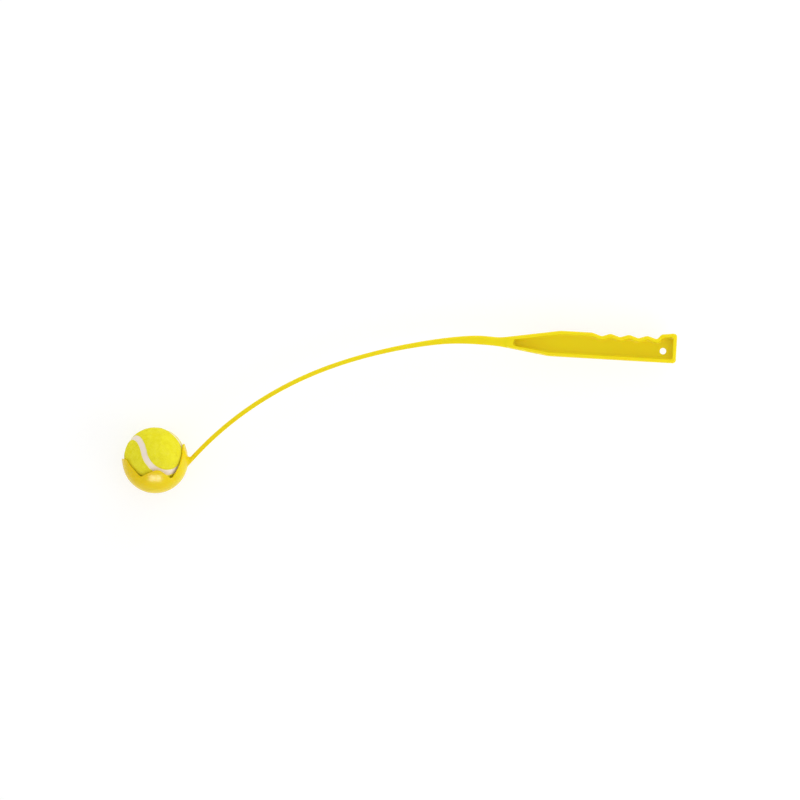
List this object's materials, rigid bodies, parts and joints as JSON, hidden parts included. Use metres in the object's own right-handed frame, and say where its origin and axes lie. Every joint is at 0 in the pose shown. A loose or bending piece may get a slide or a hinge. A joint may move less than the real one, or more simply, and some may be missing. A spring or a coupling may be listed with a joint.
{
  "type": "ball launcher",
  "caption": "Long-armed pet ball launcher: a moulded plastic arm with a petalled cup, a finger-grooved grip and a felt-covered ball seated in the cup.",
  "frame": {"origin": "bottom centre of the whole part's box, lying on its side on a table", "axes": "+X from the cup to the grip, +Y up as the launcher is held with its cup's mouth upwards, +Z up off the table and across the launcher"},
  "size_m": [0.5736, 0.1678, 0.0645],
  "materials": {
    "launcher_plastic": "satin moulded yellow",
    "ball_rubber": "matte black moulded rubber",
    "ball_felt": "napped yellow felt",
    "seam_rubber": "matte pale set glue"
  },
  "bodies": {
    "launcher": {"ball_cup": "launcher_plastic", "throwing_arm": "launcher_plastic", "grip_handle": "launcher_plastic"},
    "ball": {"core_half_a": "ball_rubber", "core_half_b": "ball_rubber", "felt_panel_a": "ball_felt", "felt_panel_b": "ball_felt", "ball_seam": "seam_rubber"}
  },
  "joints": [
    {"name": "ball_release", "type": "slide", "parent": "launcher", "child": "ball", "axis": [-0.2079, 0.9781, 0], "range_m": [0, 0.08]}
  ]
}
